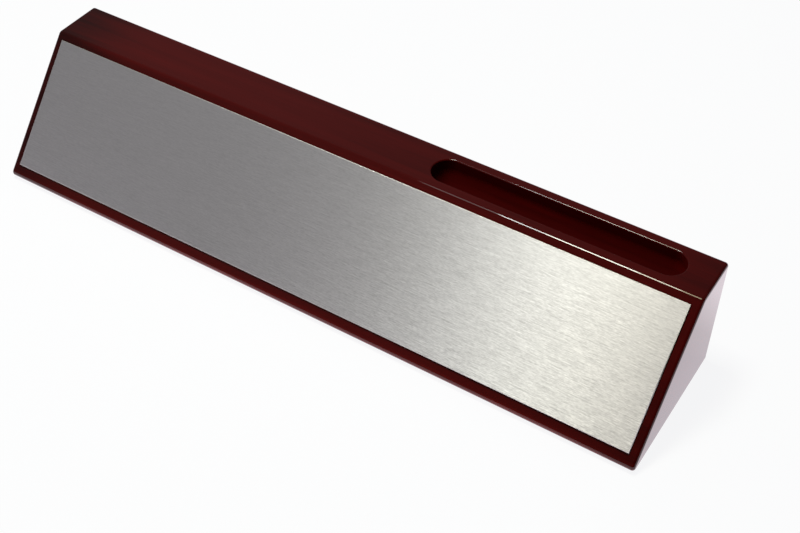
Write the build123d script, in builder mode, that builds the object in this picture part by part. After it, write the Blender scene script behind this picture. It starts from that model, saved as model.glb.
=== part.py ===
from build123d import *
import os
from math import asin, atan2, cos, hypot, sin, tan

# A desk name plate: a lacquered wooden wedge with a card slot milled in its top, a brushed metal
# plate taped to its sloping front, and a felt sheet glued under its base.
# Millimetres. X runs along the block to its right-hand end, Y from the front to the back, Z up.
# The origin is on the desk, under the middle of the block.

# Wedge block
block_length = 266.7
block_depth = 58.1  # from the rounded nose to the back
block_height = 46.0  # from its own base to its top
nose_radius = 1.8  # along the thin front edge, where the slope meets the base
front_edge_radius = 2.0  # along the top's front edge
edge_radius = 1.5  # along the two back edges
end_edge_radius = 1.2  # round the outline of both ends

# Card slot, cut with a round-nosed cutter as wide as the slot
slot_length = 93.6
slot_width = 12.1
slot_depth = 9.5
slot_lip_radius = 0.5
slot_floor_flat = 0.4  # width of the flat strip along the floor, between its roundings
slot_land = 2.35  # flat strip of top left behind the slot's lip
slot_front_margin = 3.25  # from the top's front edge, if it were sharp, to the slot's lip
slot_end_margin = 10.5  # from the slot to the block's right-hand end

# Name plate
plate_thickness = 0.6
plate_edge_radius = 0.2  # roll-over of the sheared edge
plate_side_margin = 3.4  # bare block at each end of the plate
plate_top_land = 1.9  # bare flat of the slope above the plate
plate_bottom_land = 3.25  # bare flat of the slope below the plate

# Double-sided tape, in two strips along the plate
tape_thickness = 0.2
tape_width = 12.0
tape_inset = 3.0  # from the plate's outline to the strips

# Base felt
felt_thickness = 0.8
felt_margin = 1.5  # from the flat of the base to the felt's outline
felt_corner_radius = 3.0

# Levels and depths of the block, which stands on the felt
base_z = felt_thickness
top_z = base_z + block_height
front_y = -block_depth / 2
back_y = block_depth / 2
slot_y = back_y - edge_radius - slot_land - slot_lip_radius - slot_width / 2
top_front_y = slot_y - slot_width / 2 - slot_lip_radius - slot_front_margin

# The front runs from the top's front edge down to a tangent of the rounded nose.
nose_y = front_y + nose_radius
nose_z = base_z + nose_radius
nose_reach = hypot(top_front_y - nose_y, top_z - nose_z)
slope = atan2(top_z - nose_z, top_front_y - nose_y) - asin(nose_radius / nose_reach)
slope_length = block_height / sin(slope)
nose_run = nose_radius / tan(slope / 2)  # slope taken by the nose's rounding
top_run = front_edge_radius * tan(slope / 2)  # slope taken by the top edge's rounding
sharp_nose_y = nose_y - nose_run

# Plane of the sloping front: its own y runs up the slope, from zero at the top's front edge.
front_plane = Plane(
    origin=(0, top_front_y, top_z), x_dir=(1, 0, 0), z_dir=(0, -sin(slope), cos(slope))
)
plate_plane = front_plane.offset(tape_thickness)

# Outline of the plate on the slope
plate_length = block_length - 2 * plate_side_margin
plate_top = -(top_run + plate_top_land)
plate_bottom = plate_bottom_land + nose_run - slope_length
plate_height = plate_top - plate_bottom
plate_middle = (plate_top + plate_bottom) / 2

os.makedirs("parts", exist_ok=True)


# Wedge block: the wedge's section run along X, its ends rounded, then the card slot
with BuildPart() as wedge_block:
    with BuildSketch(Plane.YZ.offset(-block_length / 2)) as section:
        with BuildLine():
            Polyline(
                (sharp_nose_y, base_z),
                (back_y, base_z),
                (back_y, top_z),
                (top_front_y, top_z),
                close=True,
            )
        make_face()
        fillet(section.vertices().sort_by(Axis.X)[0], nose_radius)
        fillet(section.vertices().sort_by(Axis.X)[-3], front_edge_radius)
        fillet(section.vertices().sort_by(Axis.X)[-2:], edge_radius)
    extrude(amount=block_length)
    fillet(wedge_block.faces().filter_by(Axis.X).edges(), end_edge_radius)

    slot_x = (block_length - slot_length) / 2 - slot_end_margin
    with BuildSketch(Plane.XY.offset(top_z)):
        with Locations((slot_x, slot_y)):
            SlotOverall(slot_length, slot_width)
    extrude(amount=-slot_depth, mode=Mode.SUBTRACT)
    slot_floor_edges = wedge_block.edges(Select.LAST).group_by(Axis.Z)[0]
    fillet(slot_floor_edges, (slot_width - slot_floor_flat) / 2)
    top_face = wedge_block.faces().filter_by(Axis.Z).sort_by(Axis.Z)[-1]
    fillet(top_face.inner_wires().edges(), slot_lip_radius)
wedge_block.part.label = "wedge_block"
export_step(wedge_block.part, "parts/wedge_block.step")


# Name plate: a sheared sheet, with its front edges rolled over
with BuildPart() as name_plate:
    with BuildSketch(plate_plane):
        with Locations((0, plate_middle)):
            Rectangle(plate_length, plate_height)
    extrude(amount=plate_thickness)
    outer_face = name_plate.faces().sort_by(Axis(plate_plane.origin, plate_plane.z_dir))[-1]
    fillet(outer_face.edges(), plate_edge_radius)
name_plate.part.label = "name_plate"
export_step(name_plate.part, "parts/name_plate.step")


# Plate tape: one strip along the plate's upper edge and one along its lower edge
tape_length = plate_length - 2 * tape_inset
tape_middles = {
    "plate_tape_upper": plate_top - tape_inset - tape_width / 2,
    "plate_tape_lower": plate_bottom + tape_inset + tape_width / 2,
}
for tape_name, tape_middle in tape_middles.items():
    with BuildPart() as plate_tape:
        with BuildSketch(front_plane):
            with Locations((0, tape_middle)):
                Rectangle(tape_length, tape_width)
        extrude(amount=tape_thickness)
    plate_tape.part.label = tape_name
    export_step(plate_tape.part, f"parts/{tape_name}.step")


# Base felt: one sheet on the flat of the base, between the roundings of its edges
felt_length = block_length - 2 * (end_edge_radius + felt_margin)
felt_front_y = nose_y + felt_margin
felt_back_y = back_y - edge_radius - felt_margin
with BuildPart() as base_felt:
    with BuildSketch():
        with Locations((0, (felt_front_y + felt_back_y) / 2)):
            RectangleRounded(felt_length, felt_back_y - felt_front_y, felt_corner_radius)
    extrude(amount=felt_thickness)
base_felt.part.label = "base_felt"
export_step(base_felt.part, "parts/base_felt.step")
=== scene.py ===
"""A desk name plate: a lacquered wooden wedge with a card slot in its top, a brushed metal plate taped to its
slope and a felt sheet under its base, on a white table under a soft overhead lamp."""

import math

import bmesh
import bpy
from mathutils import Matrix, Quaternion, Vector


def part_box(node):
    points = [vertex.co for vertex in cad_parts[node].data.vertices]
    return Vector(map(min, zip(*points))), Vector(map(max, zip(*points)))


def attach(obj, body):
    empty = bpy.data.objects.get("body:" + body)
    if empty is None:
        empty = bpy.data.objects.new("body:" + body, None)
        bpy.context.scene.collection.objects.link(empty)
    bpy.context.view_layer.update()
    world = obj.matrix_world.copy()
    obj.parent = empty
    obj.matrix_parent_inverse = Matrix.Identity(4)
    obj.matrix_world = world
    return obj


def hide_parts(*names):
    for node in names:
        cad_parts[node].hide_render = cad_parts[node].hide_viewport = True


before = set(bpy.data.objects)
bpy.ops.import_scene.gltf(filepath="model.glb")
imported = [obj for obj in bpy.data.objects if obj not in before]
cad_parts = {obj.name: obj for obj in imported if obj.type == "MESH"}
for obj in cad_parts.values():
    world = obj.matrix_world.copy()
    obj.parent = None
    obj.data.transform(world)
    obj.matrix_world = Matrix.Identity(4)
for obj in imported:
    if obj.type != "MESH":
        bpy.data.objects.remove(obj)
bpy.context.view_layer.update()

# Sizes of the block, in metres, as the solids have them
nose_radius = 0.0018
front_edge_radius = 0.002
edge_radius = 0.0015
end_edge_radius = 0.0012
slot_length = 0.0936
slot_width = 0.0121
slot_depth = 0.0095
slot_lip_radius = 0.0005
slot_floor_flat = 0.0004
slot_land = 0.00235
slot_front_margin = 0.00325
slot_end_margin = 0.0105

# Sizes of the plate, its tape and the felt
plate_thickness = 0.0006
plate_edge_radius = 0.0002
plate_top_land = 0.0019
plate_bottom_land = 0.00325
tape_thickness = 0.0002
felt_corner_radius = 0.003
felt_rim_radius = 0.0002

# Flat steps in a rounded edge, in the slot's round bottom and in each of its half-round ends
edge_steps = 8
slot_floor_steps = 24
slot_end_steps = 40

# Places that differ by less than this are the same
tiny = 1e-6

# Which of its piece's two finishes a face takes
stained_index = 1
brushed_index = 0
cut_index = 1

# The wedge: its slope runs from the top's front edge down to a tangent of the rounded nose
block_low, block_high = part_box("wedge_block")
slot_y = block_high.y - edge_radius - slot_land - slot_lip_radius - slot_width / 2
top_front_y = slot_y - slot_width / 2 - slot_lip_radius - slot_front_margin
nose_y = block_low.y + nose_radius
nose_z = block_low.z + nose_radius
nose_reach = math.hypot(top_front_y - nose_y, block_high.z - nose_z)
slope = math.atan2(block_high.z - nose_z, top_front_y - nose_y) - math.asin(nose_radius / nose_reach)
slope_length = (block_high.z - block_low.z) / math.sin(slope)
nose_run = nose_radius / math.tan(slope / 2)
top_run = front_edge_radius * math.tan(slope / 2)

# The slope's own frame: x along the block, y up the slope from its top edge, z out of it
slope_frame = Matrix.Translation((0, top_front_y, block_high.z)) @ Matrix.Rotation(slope, 4, "X")


class Shade:
    """A socket of a material's node tree, on which Python's operators add Math nodes."""

    def __init__(self, tree, socket=None):
        self.tree = tree
        self.socket = socket

    def node(self, kind, *ordered, settings=None, output=0, **named):
        """Adds a node of this type, with its settings and then its sockets, in order or by name. Gives one of
        its outputs."""
        made = self.tree.nodes.new("ShaderNode" + kind)
        for name, value in (settings or {}).items():
            if name == "stops":
                set_stops(made.color_ramp, value)
            else:
                setattr(made, name, value)
        sockets = list(zip(made.inputs, ordered))
        sockets += [(made.inputs[name.replace("_", " ")], value) for name, value in named.items()]
        for socket, value in sockets:
            if isinstance(value, Shade):
                self.tree.links.new(value.socket, socket)
            else:
                socket.default_value = value
        return Shade(self.tree, made.outputs[output] if made.outputs else None)

    def maths(self, operation, *values):
        """Adds a Math node."""
        return self.node("Math", *values, settings={"operation": operation})

    def __add__(self, other):
        return self.maths("ADD", self, other)

    def __sub__(self, other):
        return self.maths("SUBTRACT", self, other)

    def __rsub__(self, other):
        return self.maths("SUBTRACT", other, self)

    def __mul__(self, other):
        return self.maths("MULTIPLY", self, other)

    __radd__ = __add__
    __rmul__ = __mul__


def set_stops(ramp, stops):
    """Gives a colour ramp these stops, each a place from 0 to 1 and a colour."""
    while len(ramp.elements) < len(stops):
        ramp.elements.new(1.0)
    for element, (place, colour) in zip(ramp.elements, stops):
        element.position = place
        element.color = (*colour, 1.0)


def new_material(name):
    """A material with an empty node tree, and a Shade to draw its nodes with."""
    material = bpy.data.materials.new(name)
    material.use_nodes = True
    material.node_tree.nodes.clear()
    return material, Shade(material.node_tree)


# Finishes


def red_lacquer():
    """Deep red-brown wood, its faint grain along the block, under a glossy clear lacquer. Painted shade
    darkens it towards the ends and on the right half of the top; painted light lightens it high on the right
    half of the front and makes it lighter and redder along the bottom edge."""
    material, draw = new_material("red_lacquer")
    place = draw.node("TexCoord", output="Object")
    along = draw.node("Mapping", Vector=place, Scale=(7.0, 160.0, 160.0))
    grain = draw.node("TexNoise", Vector=along, Scale=1.0, Detail=5.0, Roughness=0.6, Distortion=0.5)
    fine = draw.node("Mapping", Vector=place, Scale=(45.0, 1400.0, 1400.0))
    pores = draw.node("TexNoise", Vector=fine, Scale=1.0, Detail=2.0)
    x = draw.node("SeparateXYZ", place, output="X")
    z = draw.node("SeparateXYZ", place, output="Z")
    # Each MapRange takes a value, the two places it runs between, and what it gives at each of them.
    smooth = {"interpolation_type": "SMOOTHSTEP"}
    # Painted shade: darker towards both ends and on the right half of the top.
    painted_shade_left_end = draw.node("MapRange", x, -0.135, -0.092, -0.42, 0.0, settings=smooth)
    painted_shade_right_end = draw.node("MapRange", x, 0.108, 0.136, 0.0, -0.17, settings=smooth)
    on_top = draw.node("MapRange", z, 0.0455, 0.0466, 0.0, 1.0)
    painted_shade_right_top = draw.node("MapRange", x, -0.045, 0.010, 0.0, -0.13, settings=smooth) * on_top
    # Painted light: lighter high on the right of the front, and lighter and redder along the bottom edge.
    up_front = draw.node("MapRange", z, 0.012, 0.040, 0.0, 1.0) * (1.0 - on_top)
    painted_light_right_front = draw.node("MapRange", x, -0.050, 0.020, 0.0, 0.16, settings=smooth) * up_front
    off_base = draw.node("MapRange", z, 0.0009, 0.0013, 0.0, 1.0)
    painted_light_bottom_edge = draw.node("MapRange", z, 0.0050, 0.0020, 0.0, 0.55, settings=smooth) * off_base
    # Stain colours; the darkest and the lightest stops are reached only through the painted shade and light.
    stain_and_painted_light = [
        (0.0, (0.024, 0.0007, 0.0006)),
        (0.36, (0.068, 0.0018, 0.0013)),
        (0.64, (0.086, 0.0025, 0.0020)),
        (0.82, (0.137, 0.0051, 0.0043)),
        (1.0, (0.27, 0.0100, 0.0086)),
    ]
    shading = painted_shade_left_end + painted_shade_right_end + painted_shade_right_top + painted_light_right_front + painted_light_bottom_edge
    depth = grain * 0.8 + pores * 0.2 + shading
    colour = draw.node("ValToRGB", depth, settings={"stops": stain_and_painted_light})
    peel = draw.node("TexNoise", Vector=place, Scale=420.0, Detail=1.0)
    skin = draw.node("Bump", Strength=0.02, Distance=0.0002, Height=peel)
    gloss = peel * 0.02 + 0.035
    surface = draw.node("BsdfPrincipled", Base_Color=colour, Roughness=gloss, IOR=1.45, Normal=skin)
    draw.node("OutputMaterial", surface)
    return material


def stained_wood():
    """The same wood inside the slot, where the milled surface is stained but not lacquered. Painted light
    makes it lighter up the upright walls, where little light falls."""
    material, draw = new_material("stained_wood")
    place = draw.node("TexCoord", output="Object")
    along = draw.node("Mapping", Vector=place, Scale=(30.0, 500.0, 500.0))
    grain = draw.node("TexNoise", Vector=along, Scale=1.0, Detail=4.0, Roughness=0.6)
    upwards = draw.node("SeparateXYZ", place, output="Z")
    # Painted light: the upright walls, which little light reaches, are coloured lighter than the floor.
    painted_light_up_walls = draw.node("MapRange", upwards, 0.0395, 0.0430, 0.0, 1.0)
    stain_and_painted_light = [
        (0.18, (0.043, 0.0004, 0.0004)),
        (0.32, (0.056, 0.0008, 0.0007)),
        (0.75, (0.105, 0.0016, 0.0014)),
    ]
    colour = draw.node("ValToRGB", grain * 0.5 + painted_light_up_walls * 0.5, settings={"stops": stain_and_painted_light})
    surface = draw.node("BsdfPrincipled", Base_Color=colour, Roughness=0.8, Specular_IOR_Level=0.03)
    draw.node("OutputMaterial", surface)
    return material


def brushed_metal():
    """Bright metal with long and short brush lines along x, which spread most of its gloss up and down the
    slope. The lines are stronger to the right and low down, and painted reflected light makes the tone a
    little lighter low down and darker high up, and the other way round at the right."""
    material, draw = new_material("brushed_metal")
    place = draw.node("TexCoord", output="Object")
    along = draw.node("Mapping", Vector=place, Scale=(150.0, 3000.0, 3000.0))
    long_lines = draw.node("TexNoise", Vector=along, Scale=1.0, Detail=2.0, Roughness=0.6)
    shorter = draw.node("Mapping", Vector=place, Scale=(750.0, 3000.0, 3000.0))
    short_lines = draw.node("TexNoise", Vector=shorter, Scale=1.0, Detail=2.0, Roughness=0.6)
    lines = long_lines * 0.5 + short_lines * 0.5
    rightwards = draw.node("SeparateXYZ", place, output="X")
    upwards = draw.node("SeparateXYZ", place, output="Z")
    stronger_right = draw.node("MapRange", rightwards, -0.06, 0.03, 1.1, 2.6)
    weaker_up = draw.node("MapRange", upwards, 0.006, 0.044, 1.05, 0.68)
    # Painted reflected light: the tone is lighter low down and darker high up, turned round at the right.
    painted_shade_up = draw.node("MapRange", upwards, 0.006, 0.044, 0.078, -0.026)
    reversed_right = draw.node("MapRange", rightwards, 0.02, 0.07, 1.0, -0.5)
    middle_tone = 0.5
    tone = (lines - middle_tone) * (stronger_right * weaker_up) + middle_tone + painted_shade_up * reversed_right
    greys = [(0.0, (0.43, 0.43, 0.4325)), (1.0, (0.93, 0.93, 0.9325))]
    colour = draw.node("ValToRGB", tone, settings={"stops": greys})
    scratch = draw.node("Bump", Strength=0.05, Distance=0.00005, Height=lines)
    across = draw.node("Tangent", settings={"direction_type": "UV_MAP", "uv_map": "across_the_lines"})
    brushed = draw.node(
        "BsdfPrincipled",
        Base_Color=colour,
        Metallic=1.0,
        Roughness=lines * -0.2 + 0.6,
        Anisotropic=0.992,
        Normal=scratch,
        Tangent=across,
    )
    # The satin lobe's cool tint is painted: it stands in for cool room light in the reflections.
    satin = draw.node("BsdfPrincipled", Base_Color=(0.672, 0.68, 0.73, 1), Metallic=1.0, Roughness=0.7)
    satin_share = 0.35
    draw.node("OutputMaterial", draw.node("MixShader", satin_share, brushed, satin))
    return material


def cut_metal():
    """The plate's cut edges: the same metal, satin all round."""
    material, draw = new_material("cut_metal")
    surface = draw.node("BsdfPrincipled", Base_Color=(0.76, 0.74, 0.73, 1), Metallic=1.0, Roughness=0.5)
    draw.node("OutputMaterial", surface)
    return material


def tape_foam():
    """Off-white foam tape."""
    material, draw = new_material("tape_foam")
    place = draw.node("TexCoord", output="Object")
    cells = draw.node("TexNoise", Vector=place, Scale=3000.0, Detail=2.0)
    colour = draw.node(
        "ValToRGB", cells, settings={"stops": [(0.3, (0.66, 0.63, 0.55)), (0.7, (0.78, 0.75, 0.67))]}
    )
    surface = draw.node("BsdfPrincipled", Base_Color=colour, Roughness=0.75)
    draw.node("OutputMaterial", surface)
    return material


def black_felt():
    """Pressed black felt with a short nap."""
    material, draw = new_material("black_felt")
    place = draw.node("TexCoord", output="Object")
    nap = draw.node("TexNoise", Vector=place, Scale=2600.0, Detail=4.0, Roughness=0.7, Distortion=1.2)
    tufts = draw.node("TexNoise", Vector=place, Scale=260.0, Detail=3.0)
    colour = draw.node(
        "ValToRGB",
        nap * 0.6 + tufts * 0.4,
        settings={"stops": [(0.32, (0.008, 0.008, 0.009)), (0.70, (0.034, 0.034, 0.037))]},
    )
    fibres = draw.node("Bump", Strength=0.6, Distance=0.0002, Height=nap)
    surface = draw.node(
        "BsdfPrincipled", Base_Color=colour, Roughness=0.95, Sheen_Weight=0.3, Normal=fibres
    )
    draw.node("OutputMaterial", surface)
    return material


def white_table():
    """White table: plain matt white to the light, and a lit white sheet to the eye and in reflections. In
    reflections it is brighter than white, with painted light behind the object's right-hand end, painted
    shade nearer the block, and a pink tint that is painted light for the end face that mirrors it."""
    material, draw = new_material("white_table")
    matt = draw.node("BsdfDiffuse", Color=(0.85, 0.85, 0.85, 1))
    paper = draw.node(
        "AddShader",
        draw.node("Emission", Color=(0.983, 0.987, 1.0, 1), Strength=0.913),
        draw.node("BsdfDiffuse", Color=(0.12, 0.12, 0.12, 1)),
    )
    place = draw.node("TexCoord", output="Object")
    # Painted reflection: a brighter pool behind the right-hand end, dimmer painted shade nearer the block,
    # tinted pink.
    behind = draw.node("MapRange", draw.node("SeparateXYZ", place, output="Y"), 0.040, 0.062, 0.0, 1.0)
    to_right = draw.node("MapRange", draw.node("SeparateXYZ", place, output="X"), 0.118, 0.130, 0.0, 1.0)
    painted_reflection_glow = draw.node(
        "ValToRGB",
        behind * to_right,
        settings={"stops": [(0.0, (0.726, 0.653, 0.704)), (1.0, (1.0, 0.90, 0.97))]},
    )
    mirrored = draw.node(
        "AddShader",
        draw.node("Emission", Color=painted_reflection_glow, Strength=1.64),
        draw.node("BsdfDiffuse", Color=(0.12, 0.12, 0.12, 1)),
    )
    to_eye = draw.node("LightPath", output="Is Camera Ray")
    in_gloss = draw.node("LightPath", output="Is Glossy Ray")
    in_glass = draw.node("LightPath", output="Is Transmission Ray")
    reflected = draw.maths("MAXIMUM", in_gloss, in_glass)
    unseen = draw.node("MixShader", reflected, matt, mirrored)
    draw.node("OutputMaterial", draw.node("MixShader", to_eye, unseen, paper))
    return material


# Making pieces


def piece_of(bm, name, *materials):
    """Turns a bmesh into an object with these materials."""
    mesh = bpy.data.meshes.new(name)
    bm.to_mesh(mesh)
    bm.free()
    for material in materials:
        mesh.materials.append(material)
    piece = bpy.data.objects.new(name, mesh)
    bpy.context.scene.collection.objects.link(piece)
    return piece


def stand_for(piece, node):
    """Puts a piece in the place of a solid."""
    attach(piece, "root")
    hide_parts(node)


def even_shading(piece):
    """Smooth shading in which the large flat faces stay flat and only the roundings turn."""
    for polygon in piece.data.polygons:
        polygon.use_smooth = True
    weighted = piece.modifiers.new("even_shading", "WEIGHTED_NORMAL")
    weighted.mode = "FACE_AREA"
    weighted.weight = 100


def edges_at(bm, **place):
    """The edges that have both ends at the coordinates given, such as x=0."""
    return [
        edge
        for edge in bm.edges
        if all(abs(getattr(end.co, axis) - at) < tiny for end in edge.verts for axis, at in place.items())
    ]


def arc(bm, start, centre, axis, angle, steps):
    """Spins a new vertex round a centre. Gives the arc's first and last vertex."""
    first = bm.verts.new(start)
    swept = bmesh.ops.spin(bm, geom=[first], cent=centre, axis=axis, angle=angle, steps=steps)
    return first, swept["geom_last"][0]


def joined(bm, arcs):
    """Joins arcs, end to start, into one closed outline, and fills it with a face."""
    for (_, last), (first, _) in zip(arcs, arcs[1:] + arcs[:1]):
        bm.edges.new((last, first))
    outline = [edge for edge in bm.edges if not edge.link_faces]
    return bmesh.ops.edgeloop_fill(bm, edges=outline)["faces"][0]


def pulled(bm, face, move):
    """Extrudes a face by this much. Gives the face at the far end."""
    grown = bmesh.ops.extrude_face_region(bm, geom=[face, *face.edges])["geom"]
    far = [part for part in grown if isinstance(part, bmesh.types.BMVert)]
    bmesh.ops.translate(bm, vec=move, verts=far)
    return next(part for part in grown if isinstance(part, bmesh.types.BMFace))


def round_edges(bm, edges, radius, steps):
    """Rounds square edges."""
    bmesh.ops.bevel(
        bm,
        geom=edges,
        offset=radius,
        offset_type="OFFSET",
        affect="EDGES",
        segments=steps,
        profile=0.5,
        material=-1,
    )


# The wedge block


def wedge_section(bm):
    """The block's section at its left end: a wedge with its four corners rounded."""
    x = block_low.x
    axis = (1, 0, 0)
    quarter = math.pi / 2
    back_y = block_high.y - edge_radius
    low_z = block_low.z + edge_radius
    high_z = block_high.z - edge_radius
    front_y = top_front_y + top_run
    front_z = block_high.z - front_edge_radius
    slope_out = Vector((0, -math.sin(slope), math.cos(slope)))
    nose = Vector((x, nose_y, nose_z))
    arcs = [
        arc(bm, (x, back_y, block_low.z), (x, back_y, low_z), axis, quarter, edge_steps),
        arc(bm, (x, block_high.y, high_z), (x, back_y, high_z), axis, quarter, edge_steps),
        arc(bm, (x, front_y, block_high.z), (x, front_y, front_z), axis, slope, edge_steps),
        arc(bm, nose + nose_radius * slope_out, nose, axis, math.pi - slope, 2 * edge_steps),
    ]
    return joined(bm, arcs)


def cut_slot(bm):
    """Sinks the card slot into the block's top: a rounded lip, an upright wall and a round bottom."""
    top = next(face for face in bm.faces if all(abs(v.co.z - block_high.z) < tiny for v in face.verts))
    rim = list(top.edges)
    bmesh.ops.delete(bm, geom=[top], context="FACES_ONLY")

    right_x = block_high.x - slot_end_margin - slot_width / 2
    left_x = right_x - slot_length + slot_width
    mouth_radius = slot_width / 2 + slot_lip_radius
    ends = []
    for end_x, side in [(right_x, -mouth_radius), (left_x, mouth_radius)]:
        start = (end_x, slot_y + side, block_high.z)
        ends.append(arc(bm, start, (end_x, slot_y, block_high.z), (0, 0, 1), math.pi, slot_end_steps))
    for (_, last), (first, _) in zip(ends, ends[::-1]):
        bm.edges.new((last, first))
    mouth = [edge for edge in bm.edges if not edge.link_faces]
    bmesh.ops.triangle_fill(bm, edges=rim + mouth, use_beauty=True, normal=(0, 0, 1))

    floor = bmesh.ops.edgeloop_fill(bm, edges=mouth)["faces"][0]
    if floor.normal.z < 0:
        floor.normal_flip()
    for before, after in quarter_steps(edge_steps):
        inwards = math.sin(after) - math.sin(before)
        down = math.cos(before) - math.cos(after)
        sink(bm, floor, slot_lip_radius, inwards, down)
    floor_radius = (slot_width - slot_floor_flat) / 2
    floor = pulled(bm, floor, (0, 0, slot_lip_radius + floor_radius - slot_depth))
    for edge in floor.edges:
        for face in edge.link_faces:
            face.material_index = stained_index
    for before, after in quarter_steps(slot_floor_steps):
        inwards = math.cos(before) - math.cos(after)
        down = math.sin(after) - math.sin(before)
        sink(bm, floor, floor_radius, inwards, down)


def quarter_steps(count):
    """Cuts a right angle into equal steps, each given by its first and last angle."""
    angles = [math.pi / 2 * step / count for step in range(count + 1)]
    return zip(angles, angles[1:])


def sink(bm, face, radius, inwards, down):
    """Insets a face and lowers it, by these shares of a radius."""
    bmesh.ops.inset_region(
        bm, faces=[face], thickness=radius * inwards, depth=-radius * down, use_even_offset=True
    )


def make_block(outside, slot_inside):
    """The wedge's section run along x, its ends rounded, then the card slot."""
    bm = bmesh.new()
    section = wedge_section(bm)
    pulled(bm, section, (block_high.x - block_low.x, 0, 0))
    bmesh.ops.recalc_face_normals(bm, faces=bm.faces)
    ends = edges_at(bm, x=block_low.x) + edges_at(bm, x=block_high.x)
    round_edges(bm, ends, end_edge_radius, edge_steps)
    cut_slot(bm)
    block = piece_of(bm, "lacquered_block", outside, slot_inside)
    stand_for(block, "wedge_block")
    even_shading(block)
    return block


# The plate, its tape and the felt


def make_plate(face_finish, edge_finish):
    """A sheared sheet on the slope, its front edges rolled over."""
    straight_out = 0.99
    low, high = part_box("name_plate")
    plate_top = -(top_run + plate_top_land)
    plate_bottom = plate_bottom_land + nose_run - slope_length
    middle = Vector((0, (plate_top + plate_bottom) / 2, tape_thickness + plate_thickness / 2))
    size = (high.x - low.x, plate_top - plate_bottom, plate_thickness, 1)
    bm = bmesh.new()
    bmesh.ops.create_cube(bm, size=1, matrix=Matrix.Diagonal(size))
    round_edges(bm, edges_at(bm, z=plate_thickness / 2), plate_edge_radius, edge_steps // 2)
    across = bm.loops.layers.uv.new("across_the_lines")
    bm.normal_update()
    for face in bm.faces:
        face.material_index = brushed_index if abs(face.normal.z) > straight_out else cut_index
        for loop in face.loops:
            loop[across].uv = (loop.vert.co.y, loop.vert.co.x)
    bmesh.ops.transform(bm, matrix=slope_frame @ Matrix.Translation(middle), verts=bm.verts)
    plate = piece_of(bm, "brushed_plate", face_finish, edge_finish)
    stand_for(plate, "name_plate")
    even_shading(plate)
    return plate


def make_felt(material):
    """A rounded-off rectangle of felt, glued flat under the block."""
    low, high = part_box("base_felt")
    size = high - low
    middle = (low + high) / 2
    stretch = Matrix.Diagonal((size.x, size.y, 1, 1))
    place = Matrix.Translation((middle.x, middle.y, 0)) @ stretch
    bm = bmesh.new()
    bmesh.ops.create_grid(bm, x_segments=1, y_segments=1, size=0.5, matrix=place)
    bmesh.ops.bevel(
        bm,
        geom=bm.verts[:],
        offset=felt_corner_radius,
        affect="VERTICES",
        segments=edge_steps,
        profile=0.5,
        material=-1,
    )
    bm.faces.ensure_lookup_table()
    pulled(bm, bm.faces[0], (0, 0, size.z))
    bmesh.ops.recalc_face_normals(bm, faces=bm.faces)
    round_edges(bm, edges_at(bm, z=0), felt_rim_radius, edge_steps // 2)
    felt = piece_of(bm, "felt_sheet", material)
    stand_for(felt, "base_felt")
    even_shading(felt)
    return felt


# The pieces
block = make_block(red_lacquer(), stained_wood())
make_plate(brushed_metal(), cut_metal())
make_felt(black_felt())
tape = tape_foam()
for tape_name in ["plate_tape_upper", "plate_tape_lower"]:
    bpy.data.objects[tape_name].material_slots[0].material = tape

# Table, lamp and room light
table_reach = 6.0
lamp_y = -0.033
lamp_height = 0.80
lamp_depth = 0.22

# The lamp's panels, from left to right: name, middle in x, width, power in watts, colour
lamp_panels = [
    ("lamp_far_left", -0.243, 0.084, 0.125, (0.98, 1.0, 0.97)),
    ("lamp_left", -0.1772, 0.0478, 0.800, (0.98, 1.0, 0.97)),
    ("lamp_middle", -0.1069, 0.0928, 2.400, (0.97, 0.98, 0.85)),
    ("lamp_right", -0.0394, 0.0422, 0.720, (0.975, 0.92, 0.74)),
    ("lamp_far_right", 0.00425, 0.0451, 0.300, (0.99, 0.865, 0.58)),
]


def hang_lamp(name, x, width, power, colour):
    """A rectangular panel of the lamp, facing straight down."""
    data = bpy.data.lights.new(name, "AREA")
    data.shape = "RECTANGLE"
    data.size = width
    data.size_y = lamp_depth
    data.energy = power
    data.color = colour
    lamp = bpy.data.objects.new(name, data)
    lamp.location = (x, lamp_y, lamp_height)
    lamp.visible_camera = False
    bpy.context.scene.collection.objects.link(lamp)


def dim_room():
    """A plain grey room, lighter at the left and behind the object than at the right."""
    room = bpy.data.worlds.new("dim_room")
    room.use_nodes = True
    room.node_tree.nodes.clear()
    draw = Shade(room.node_tree)
    way = draw.node("TexCoord", output="Generated")
    leftwards = draw.node("MapRange", draw.node("SeparateXYZ", way, output="X"), 0.0, -0.48, 0.0, 0.096)
    backwards = draw.maths("MAXIMUM", draw.node("SeparateXYZ", way, output="Y"), 0.0)
    level = leftwards + backwards * 0.06 + 0.02
    grey = draw.node("CombineColor", level, level, level)
    draw.node("OutputWorld", draw.node("Background", Color=grey))
    return room


bm = bmesh.new()
bmesh.ops.create_grid(bm, x_segments=1, y_segments=1, size=table_reach)
table = piece_of(bm, "table", white_table())
for panel in lamp_panels:
    hang_lamp(*panel)
bpy.context.scene.world = dim_room()

# Camera, where the photograph was taken from
camera_place = Vector((0.204416, -0.282711, 0.342428))
camera_aim = Vector((0.02095, 0.01072, 0.0))
camera_roll = math.radians(0.430)
camera_data = bpy.data.cameras.new("camera")
camera_data.sensor_width = 36.0
camera_data.lens = 59.808
camera = bpy.data.objects.new("camera", camera_data)
camera.location = camera_place
camera.rotation_mode = "QUATERNION"
camera_turn = (camera_aim - camera_place).to_track_quat("-Z", "Y")
camera.rotation_quaternion = camera_turn @ Quaternion((0, 0, 1), camera_roll)
bpy.context.scene.collection.objects.link(camera)
bpy.context.scene.camera = camera
bpy.context.scene.view_settings.view_transform = "Standard"
